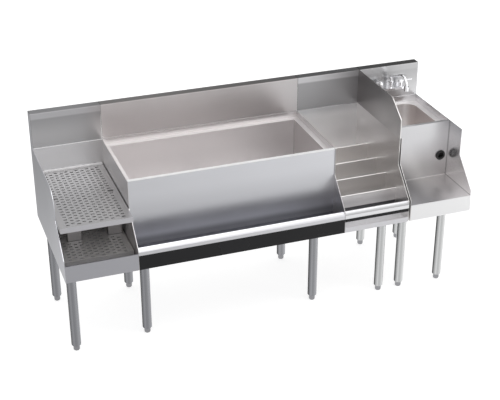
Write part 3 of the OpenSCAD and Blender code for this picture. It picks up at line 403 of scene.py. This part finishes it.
leg_painted_shade_stops = (
    (-0.94, 0.22),
    (-0.80, 0.36),
    (-0.60, 0.47),
    (-0.30, 0.37),
    (0.00, 0.40),
    (0.30, 0.50),
    (0.55, 0.55),
    (0.80, 0.55),
    (0.95, 0.42),
)
leg_steel = metal("leg_steel", (0.92, 0.93, 1.0), 0.03, lines_along_z, 1.1, 0.20, 0.02, 0.002)
paint_round_shade_and_highlight(leg_steel, *leg_painted_shade_stops)
# Painted light: the legs toward the right end are painted lighter.
paint_light_and_shade(leg_steel, (1.90, 1.90, 1.80), (right, 0.15, 0.60))
dress(leg_steel, "legs")


# Feet
# Each leg ends in a short turned bullet foot on a threaded stem.
# The stem screws in and out of the tube to level the station.

foot_steel = metal("foot_steel", (0.42, 0.42, 0.44), 0.10, lines_along_z, 2.3, 0.36, 0.05, 0.1)
dress(foot_steel, *(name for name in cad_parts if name.endswith("_foot")))


# End and side panels
# Flat stainless sheets close the two sides of every unit.
# The display and the sink unit are drawn together by bolts through spacers.

left_end_steel = metal("left_end_steel", (0.70, 0.705, 0.74), 0.04, lines_along_y, 3.1, 0.31, 0.015, 0.002)
# Painted light: the left end panel is painted lighter toward its front.
paint_light_and_shade(left_end_steel, (1.15, 1.15, 1.15), beyond("left_end_panel", front, -0.35, 0.0))
dress(left_end_steel, "left_end_panel")
bin_side_steel = metal("bin_side_steel", (0.56, 0.545, 0.55), 0.04, lines_along_y, 3.4, 0.32, 0.02, 0.002)
dress(bin_side_steel, "bin_side_panel")
partition_steel = metal("partition_steel", (0.72, 0.70, 0.70), 0.04, lines_along_y, 3.6, 0.32, 0.02, 0.002)
dress(partition_steel, "drainboard_side_panel")
display_side_steel = metal(
    "display_side_steel", (0.79, 0.77, 0.76), 0.04, lines_along_y, 4.1, 0.32, 0.02, 0.002
)
# Painted light: a band near the top of the display side panel is painted lighter.
paint_light_and_shade(display_side_steel, (1.15, 1.15, 1.15), beyond("display_side_panel", up, -0.13, -0.05))
dress(display_side_steel, "display_side_panel", "blender_side_panel")
right_end_steel = metal("right_end_steel", (0.95, 0.93, 0.94), 0.03, lines_along_y, 4.7, 0.24, 0.015, 0.002)
# Painted shade: the upper part of the right end panel is painted darker, and so is its outer face.
paint_light_and_shade(right_end_steel, (0.54, 0.55, 0.57), beyond("right_end_panel", up, -0.24, -0.12))
right_end_outer_shade = (right, 0.9130, 0.9140)
paint_light_and_shade(right_end_steel, (0.50, 0.51, 0.53), right_end_outer_shade)
dress(right_end_steel, "right_end_panel")


# Backsplashes
# One tall splash stands behind each unit, its top folded back to the wall.
# The polish runs lengthwise, and the joints between the units are butted.

splash_steel = metal("splash_steel", (0.99, 0.98, 1.0), 0.04, lines_along_x, 5.9, 0.30, 0.015, 0.002)
# Painted shade: the drainboard splash is painted darker toward its top and toward its right end.
paint_light_and_shade(splash_steel, (0.66, 0.66, 0.67), beyond("drainboard_splash", up, -0.120, -0.010))
paint_light_and_shade(splash_steel, (0.85, 0.84, 0.83), beyond("drainboard_splash", right, -0.10, 0.0))
warm_splash_steel = metal(
    "warm_splash_steel", (0.72, 0.695, 0.69), 0.04, lines_along_x, 6.4, 0.31, 0.015, 0.002
)
# Painted shade: the bin splash is painted darker toward its right end.
paint_light_and_shade(warm_splash_steel, (0.90, 0.90, 0.91), beyond("bin_splash", right, -0.25, 0.0))
display_splash_steel = metal(
    "display_splash_steel", (0.98, 0.97, 0.99), 0.04, lines_along_x, 6.9, 0.30, 0.015, 0.02, 0.15
)
sink_splash_steel = metal(
    "sink_splash_steel", (0.79, 0.79, 0.80), 0.04, lines_along_x, 7.3, 0.30, 0.015, 0.002
)
# Painted shade: the display and sink splashes are painted darker toward their tops.
paint_light_and_shade(display_splash_steel, (0.70, 0.70, 0.71), beyond("display_splash", up, -0.21, -0.16))
paint_light_and_shade(sink_splash_steel, (0.62, 0.62, 0.62), beyond("blender_splash", up, -0.17, -0.02))
above_crease = (up, 0.7613, 0.7619)
under_crease = (down, -0.7647, -0.7641)
sheet_back = (back, 0.2626, 0.2634)
under_return = (down, -0.900, -0.890)
for splash, splash_finish, crease, top, rear in (
    ("drainboard_splash", splash_steel, 0.40, 1.0, 0.72),
    ("bin_splash", warm_splash_steel, 0.31, 0.66, 1.0),
    ("display_splash", display_splash_steel, 0.36, 0.31, 0.62),
    ("blender_splash", sink_splash_steel, 0.60, 0.38, 0.90),
):
    # Painted highlight: a thin strip along the front of each splash's top edge is painted lighter.
    top_edge_highlight = beyond(splash, up, -0.0050, -0.0035)
    paint_light_and_shade(splash_finish, (1.30, 1.30, 1.30), top_edge_highlight, beyond(splash, front, -0.003, -0.001))
    # Painted shade: a thin strip at each splash's left edge is painted darker, for the shade in the butt
    # joint.
    paint_light_and_shade(splash_finish, (0.60, 0.60, 0.60), beyond(splash, left, -0.0022, -0.0014))
    # Painted shade: a narrow band along the crease at counter height is painted darker.
    paint_light_and_shade(splash_finish, (crease, crease, crease), above_crease, under_crease)
    # Painted shade: the top return folded back to the wall is painted darker, most of all on the display
    # and sink splashes.
    box_top = beyond(splash, up, -0.0006, -0.0002)
    paint_light_and_shade(splash_finish, (top, top, top), box_top, beyond(splash, back, -0.0420, -0.0400))
    # Painted shade: the back face of each sheet, below its return, is painted darker.
    paint_light_and_shade(splash_finish, (rear, rear, rear), sheet_back, under_return)
    dress(splash_finish, splash)
# Painted shade: the bin splash's top return is painted darker toward its right end.
bin_box_top = beyond("bin_splash", up, -0.0006, -0.0002)
paint_light_and_shade(warm_splash_steel, (0.70, 0.70, 0.70), bin_box_top, beyond("bin_splash", right, -0.9, -0.1))


# Drainboard
# A perforated stainless tray lies loose in a pan that drains to a tailpiece.
# The holes are punched, and the tray lifts out for washing.

# Painted light: the pan's colour is raised to the lightest steel to lighten the shade it lies in under the
# tray.
pan_steel = metal("pan_steel", (1.0, 0.98, 0.98), 0.03, lines_along_x, 7.7, 0.40, 0.03, 0.002, 0.6)
dress(pan_steel, "drainboard_pan")
tray_steel = metal("tray_steel", (0.46, 0.455, 0.46), 0.04, lines_along_y, 8.2, 0.32, 0.03, 0.02)
# Painted highlight: the tray's front edge is painted lighter.
paint_light_and_shade(tray_steel, (1.50, 1.50, 1.55), beyond("drainboard_insert", front, -0.0015, -0.0005))
dress(tray_steel, "drainboard_insert")
drain_steel = metal("drain_steel", (0.72, 0.72, 0.73), 0.06, lines_along_z, 9.6, 0.20, 0.03, 0.1)
dress(drain_steel, "drainboard_drain")


# Glass shelf
# A lower perforated shelf hangs under the drainboard behind an open front.
# Two folded uprights carry the drainboard's pan above it.

glass_pan_steel = metal(
    "glass_pan_steel", (0.53, 0.53, 0.565), 0.04, lines_along_x, 9.9, 0.31, 0.015, 0.002, 0.1
)
dress(glass_pan_steel, "glass_shelf_pan")
shelf_tray_steel = metal(
    "shelf_tray_steel", (0.70, 0.68, 0.67), 0.05, lines_along_y, 10.4, 0.50, 0.04, 0.02, 0.55
)
# Painted shade: the shelf tray is painted darker toward its front.
paint_light_and_shade(shelf_tray_steel, (0.68, 0.68, 0.68), beyond("glass_shelf_insert", front, -0.10, 0.0))
dress(shelf_tray_steel, "glass_shelf_insert")
dress(drain_steel, "glass_shelf_drain")
upright_steel = metal("upright_steel", (0.50, 0.49, 0.495), 0.05, lines_along_z, 11.2, 0.32, 0.03, 0.02)
dress(upright_steel, "left_upright", "right_upright")


# Ice bin
# A seamless stainless liner hangs in an outer casing with foam between them.
# The liner's rim lies on the casing, and its floor has a drain with a lift-out strainer.

casing_steel = metal("casing_steel", (0.79, 0.795, 0.83), 0.03, lines_along_x, 12.5, 0.32, 0.02, 0.002)
# Painted highlight: the casing's top return is painted lighter and scatters more of its light.
casing_rim_highlight = beyond("bin_casing", up, -0.0030, -0.0020)
paint_light_and_shade(casing_steel, (1.25, 1.25, 1.20), casing_rim_highlight)
soften(casing_steel, 0.4, casing_rim_highlight)
# Painted reflection: the casing is painted darker toward its bottom, most of all just above the rail, whose
# dark trough it mirrors.
paint_light_and_shade(casing_steel, (0.42, 0.42, 0.42), (down, -0.512, -0.478))
paint_light_and_shade(casing_steel, (0.92, 0.92, 0.92), (down, -0.700, -0.620))
dress(casing_steel, "bin_casing")
liner_steel = metal("liner_steel", (0.93, 0.905, 0.905), 0.03, lines_along_x, 13.3, 0.36, 0.02, 0.002, 0.1)
# Painted shade: the liner is painted a little darker toward its bottom, and its right wall under the rim
# darker still.
paint_light_and_shade(liner_steel, (0.94, 0.94, 0.94), (down, -0.70, -0.62))
shaded_liner_right_wall = (right, 0.2775, 0.2785)
under_rim = (down, -0.7352, -0.7348)
paint_light_and_shade(liner_steel, (0.60, 0.59, 0.59), shaded_liner_right_wall, under_rim)
dress(liner_steel, "bin_liner")
dress(drain_steel, "bin_drain", "bin_strainer")


def dull(name, colour, colour_2, size, rough, rough_spread, shine, relief, depth):
    """A mould's finish: cloudy colour, uneven gloss and a fine pebble."""
    made = bpy.data.materials.new(name)
    made.use_nodes = True
    tree = made.node_tree
    shader = tree.nodes["Principled BSDF"]
    shader.inputs["Specular IOR Level"].default_value = shine
    place = tree.nodes.new("ShaderNodeTexCoord")
    cloud = tree.nodes.new("ShaderNodeTexNoise")
    cloud.inputs["Scale"].default_value = size
    cloud.inputs["Detail"].default_value = 4.0
    tree.links.new(place.outputs["Object"], cloud.inputs["Vector"])
    tone = tree.nodes.new("ShaderNodeMix")
    tone.data_type = "RGBA"
    tone.inputs[first_colour].default_value = (*colour, 1.0)
    tone.inputs[second_colour].default_value = (*colour_2, 1.0)
    tree.links.new(cloud.outputs["Fac"], tone.inputs[0])
    tree.links.new(tone.outputs[mixed_colour], shader.inputs["Base Color"])
    gloss = tree.nodes.new("ShaderNodeMapRange")
    gloss.inputs["From Min"].default_value = 0.3
    gloss.inputs["From Max"].default_value = 0.7
    gloss.inputs["To Min"].default_value = rough - rough_spread
    gloss.inputs["To Max"].default_value = rough + rough_spread
    tree.links.new(cloud.outputs["Fac"], gloss.inputs["Value"])
    tree.links.new(gloss.outputs["Result"], shader.inputs["Roughness"])
    pebble = tree.nodes.new("ShaderNodeTexNoise")
    pebble.inputs["Scale"].default_value = size * 40.0
    pebble.inputs["Detail"].default_value = 2.0
    tree.links.new(place.outputs["Object"], pebble.inputs["Vector"])
    bump = tree.nodes.new("ShaderNodeBump")
    bump.inputs["Strength"].default_value = relief
    bump.inputs["Distance"].default_value = depth
    tree.links.new(pebble.outputs["Fac"], bump.inputs["Height"])
    tree.links.new(bump.outputs["Normal"], shader.inputs["Normal"])
    return made


bin_foam = dull("bin_foam", (0.82, 0.74, 0.50), (0.88, 0.82, 0.60), 20.0, 0.85, 0.05, 0.3, 0.5, 0.0006)
dress(bin_foam, "bin_insulation")


# Speed rail
# A folded stainless trough for bottles hangs on the front of the ice bin.
# Its nose is bevelled, and a near-black bumper strip is screwed along it.

rail_steel = metal("rail_steel", (0.80, 0.80, 0.83), 0.03, lines_along_x, 14.8, 0.30, 0.015, 0.002)
# Painted shade: the rail's bevelled nose is painted darker, dimming its reflection of the lamps.
rail_nose_shade = beyond("bin_rail", front, -0.0145, -0.0010)
paint_light_and_shade(rail_steel, (0.60, 0.60, 0.60), rail_nose_shade, beyond("bin_rail", up, -0.0145, -0.0135))
# Painted shade: the inside of the trough behind the nose, and the trough's back wall, are painted dark.
shaded_behind_nose = (back, -0.2910, -0.2906)
paint_light_and_shade(rail_steel, (0.30, 0.30, 0.31), shaded_behind_nose, (up, 0.5110, 0.5120))
rail_back_wall_shade = (back, -0.1900, -0.1850)
paint_light_and_shade(rail_steel, (0.25, 0.25, 0.26), rail_back_wall_shade)
dress(rail_steel, "bin_rail")
# One near-black finish dresses the bin rail's bumper and the display's strip; on the display the strip is a
# painted shadow under the guard.
near_black_strip = dull(
    "near_black_strip", (0.015, 0.015, 0.016), (0.021, 0.021, 0.023), 6.0, 0.26, 0.04, 0.25, 0.2, 0.0001
)
dress(near_black_strip, "bin_rail_bumper", "display_bumper")


# Bottle display
# Four stepped troughs are folded from sheet, each with a rolled front lip.
# A short rail trough and a bevelled guard close the front; the guard's near-black strip is a painted
# shadow.

step_steel = metal("step_steel", (0.94, 0.92, 0.91), 0.04, lines_along_x, 15.6, 0.32, 0.02, 0.002)
# Painted shade: the lowest riser of the steps is painted darker.
lowest_riser_shade = (down, -0.512, -0.482)
paint_light_and_shade(step_steel, (0.78, 0.78, 0.78), lowest_riser_shade)
dress(step_steel, "bottle_steps")
display_rail_steel = metal(
    "display_rail_steel", (0.78, 0.775, 0.80), 0.03, lines_along_x, 16.1, 0.30, 0.015, 0.002
)
# Painted shade: the back of the display rail's trough, behind the guard, is painted near-black.
paint_light_and_shade(display_rail_steel, (0.12, 0.12, 0.12), beyond("display_rail", back, -0.010, -0.005))
trough_floor = (down, -0.4240, -0.4220)
soften(display_rail_steel, 0.2, trough_floor)
dress(display_rail_steel, "display_rail")
guard_steel = metal("guard_steel", (0.96, 0.96, 0.99), 0.03, lines_along_x, 16.4, 0.30, 0.015, 0.002)
# Painted shade: the guard's bevelled nose is painted darker, and so is the trough behind it.
guard_nose_shade = beyond("display_guard", front, -0.0185, -0.0010)
paint_light_and_shade(guard_steel, (0.33, 0.33, 0.33), guard_nose_shade, beyond("display_guard", up, -0.0145, -0.0135))
paint_light_and_shade(guard_steel, (0.70, 0.70, 0.70), shaded_behind_nose, (up, 0.5144, 0.5148))
dress(guard_steel, "display_guard")


# Divider
# A tall sheet, folded double, keeps splashes from the sink off the bottles.
# Its fixing leg is clamped in the seam between the display and the sink unit.

divider_steel = metal("divider_steel", (0.99, 0.96, 0.95), 0.04, lines_along_z, 16.9, 0.30, 0.015, 0.002)
# Painted shade: the divider is painted darker toward its back and toward its top.
paint_light_and_shade(divider_steel, (0.38, 0.36, 0.36), beyond("splash_divider", back, -0.45, 0.0))
paint_light_and_shade(divider_steel, (0.65, 0.65, 0.65), beyond("splash_divider", up, -0.14, 0.0))
dress(divider_steel, "splash_divider")


# Sink
# A deep drawn bowl with round corners is one piece with the deck of the end unit.
# A basket strainer drops into its drain, which a large nut holds from below.

bowl_steel = metal("bowl_steel", (0.88, 0.855, 0.85), 0.03, lines_along_x, 17.4, 0.36, 0.02, 0.002, 0.35)
# Painted shade: the bowl's right wall below the deck is painted darker.
shaded_bowl_right_wall = (right, 0.845, 0.875)
under_deck = (down, -0.7288, -0.7284)
paint_light_and_shade(bowl_steel, (0.60, 0.56, 0.55), shaded_bowl_right_wall, under_deck)
dress(bowl_steel, "sink_bowl")
sink_front_steel = metal(
    "sink_front_steel", (0.73, 0.73, 0.745), 0.03, lines_along_x, 18.3, 0.30, 0.015, 0.002
)
# Painted shade: the sink front is painted darker toward its bottom, toward its right end and in a thin
# strip at its right edge. Painted highlight: a thin strip at its bottom edge is painted lighter.
paint_light_and_shade(sink_front_steel, (0.50, 0.49, 0.48), beyond("sink_front", down, -0.21, -0.03))
paint_light_and_shade(sink_front_steel, (0.88, 0.87, 0.87), beyond("sink_front", right, -0.10, 0.0))
paint_light_and_shade(sink_front_steel, (1.45, 1.45, 1.45), beyond("sink_front", down, -0.0035, -0.0025))
paint_light_and_shade(sink_front_steel, (0.62, 0.62, 0.62), beyond("sink_front", right, -0.0040, -0.0030))
dress(sink_front_steel, "sink_front")
dress(drain_steel, "sink_drain", "sink_drain_nut", "sink_strainer")


# Blender shelf
# A low dry shelf in front of the bowl, folded from sheet, with a deep front apron.
# A rubber grommet in the wall behind it takes the cord of whatever stands there.

shelf_steel = metal("shelf_steel", (0.99, 0.99, 1.0), 0.03, lines_along_x, 19.2, 0.30, 0.015, 0.002)
behind_apron = (back, -0.3030, -0.3020)
# The shelf top is warmed slightly. Painted shade: it is darker toward its left end and in a thin strip at
# its right edge, where it meets the end panel.
paint_light_and_shade(shelf_steel, (0.98, 0.96, 0.95), behind_apron)
paint_light_and_shade(shelf_steel, (0.37, 0.37, 0.38), beyond("blender_shelf", left, -0.21, -0.07), behind_apron)
shelf_right_seam_shade = (right, 0.9088, 0.9096)
paint_light_and_shade(shelf_steel, (0.60, 0.60, 0.60), shelf_right_seam_shade, behind_apron)
dress(shelf_steel, "blender_shelf")
grommet_rubber = dull(
    "grommet_rubber", (0.022, 0.022, 0.022), (0.034, 0.034, 0.034), 30.0, 0.5, 0.06, 0.3, 0.3, 0.0002
)
dress(grommet_rubber, "cord_grommet")


# Faucet
# A chromed two-handle wall faucet is fixed to the splash behind the bowl.
# Its spout swings, the levers turn, and brass nuts hold the shanks from behind.

chrome = metal("chrome", (0.93, 0.93, 0.95), 0.02, lines_along_z, 20.5, 0.08, 0.02, 0.0, 0.12)
dress(chrome, "faucet_body", "faucet_spout", "spout_nut", "aerator", "left_handle", "right_handle")
shank_brass = metal("shank_brass", (0.75, 0.60, 0.32), 0.08, lines_along_z, 21.7, 0.32, 0.03, 0.1)
dress(shank_brass, "faucet_nuts")


# Seam bolts
# Zinc-plated bolts draw the display's and the sink's side panels onto round spacers.
# They sit in the open seam between the two units, out of sight from the bar side.

zinc_plate = metal("zinc_plate", (0.56, 0.57, 0.58), 0.12, lines_along_x, 22.9, 0.38, 0.08, 0.1)
dress(zinc_plate, "seam_bolts", "seam_spacers")
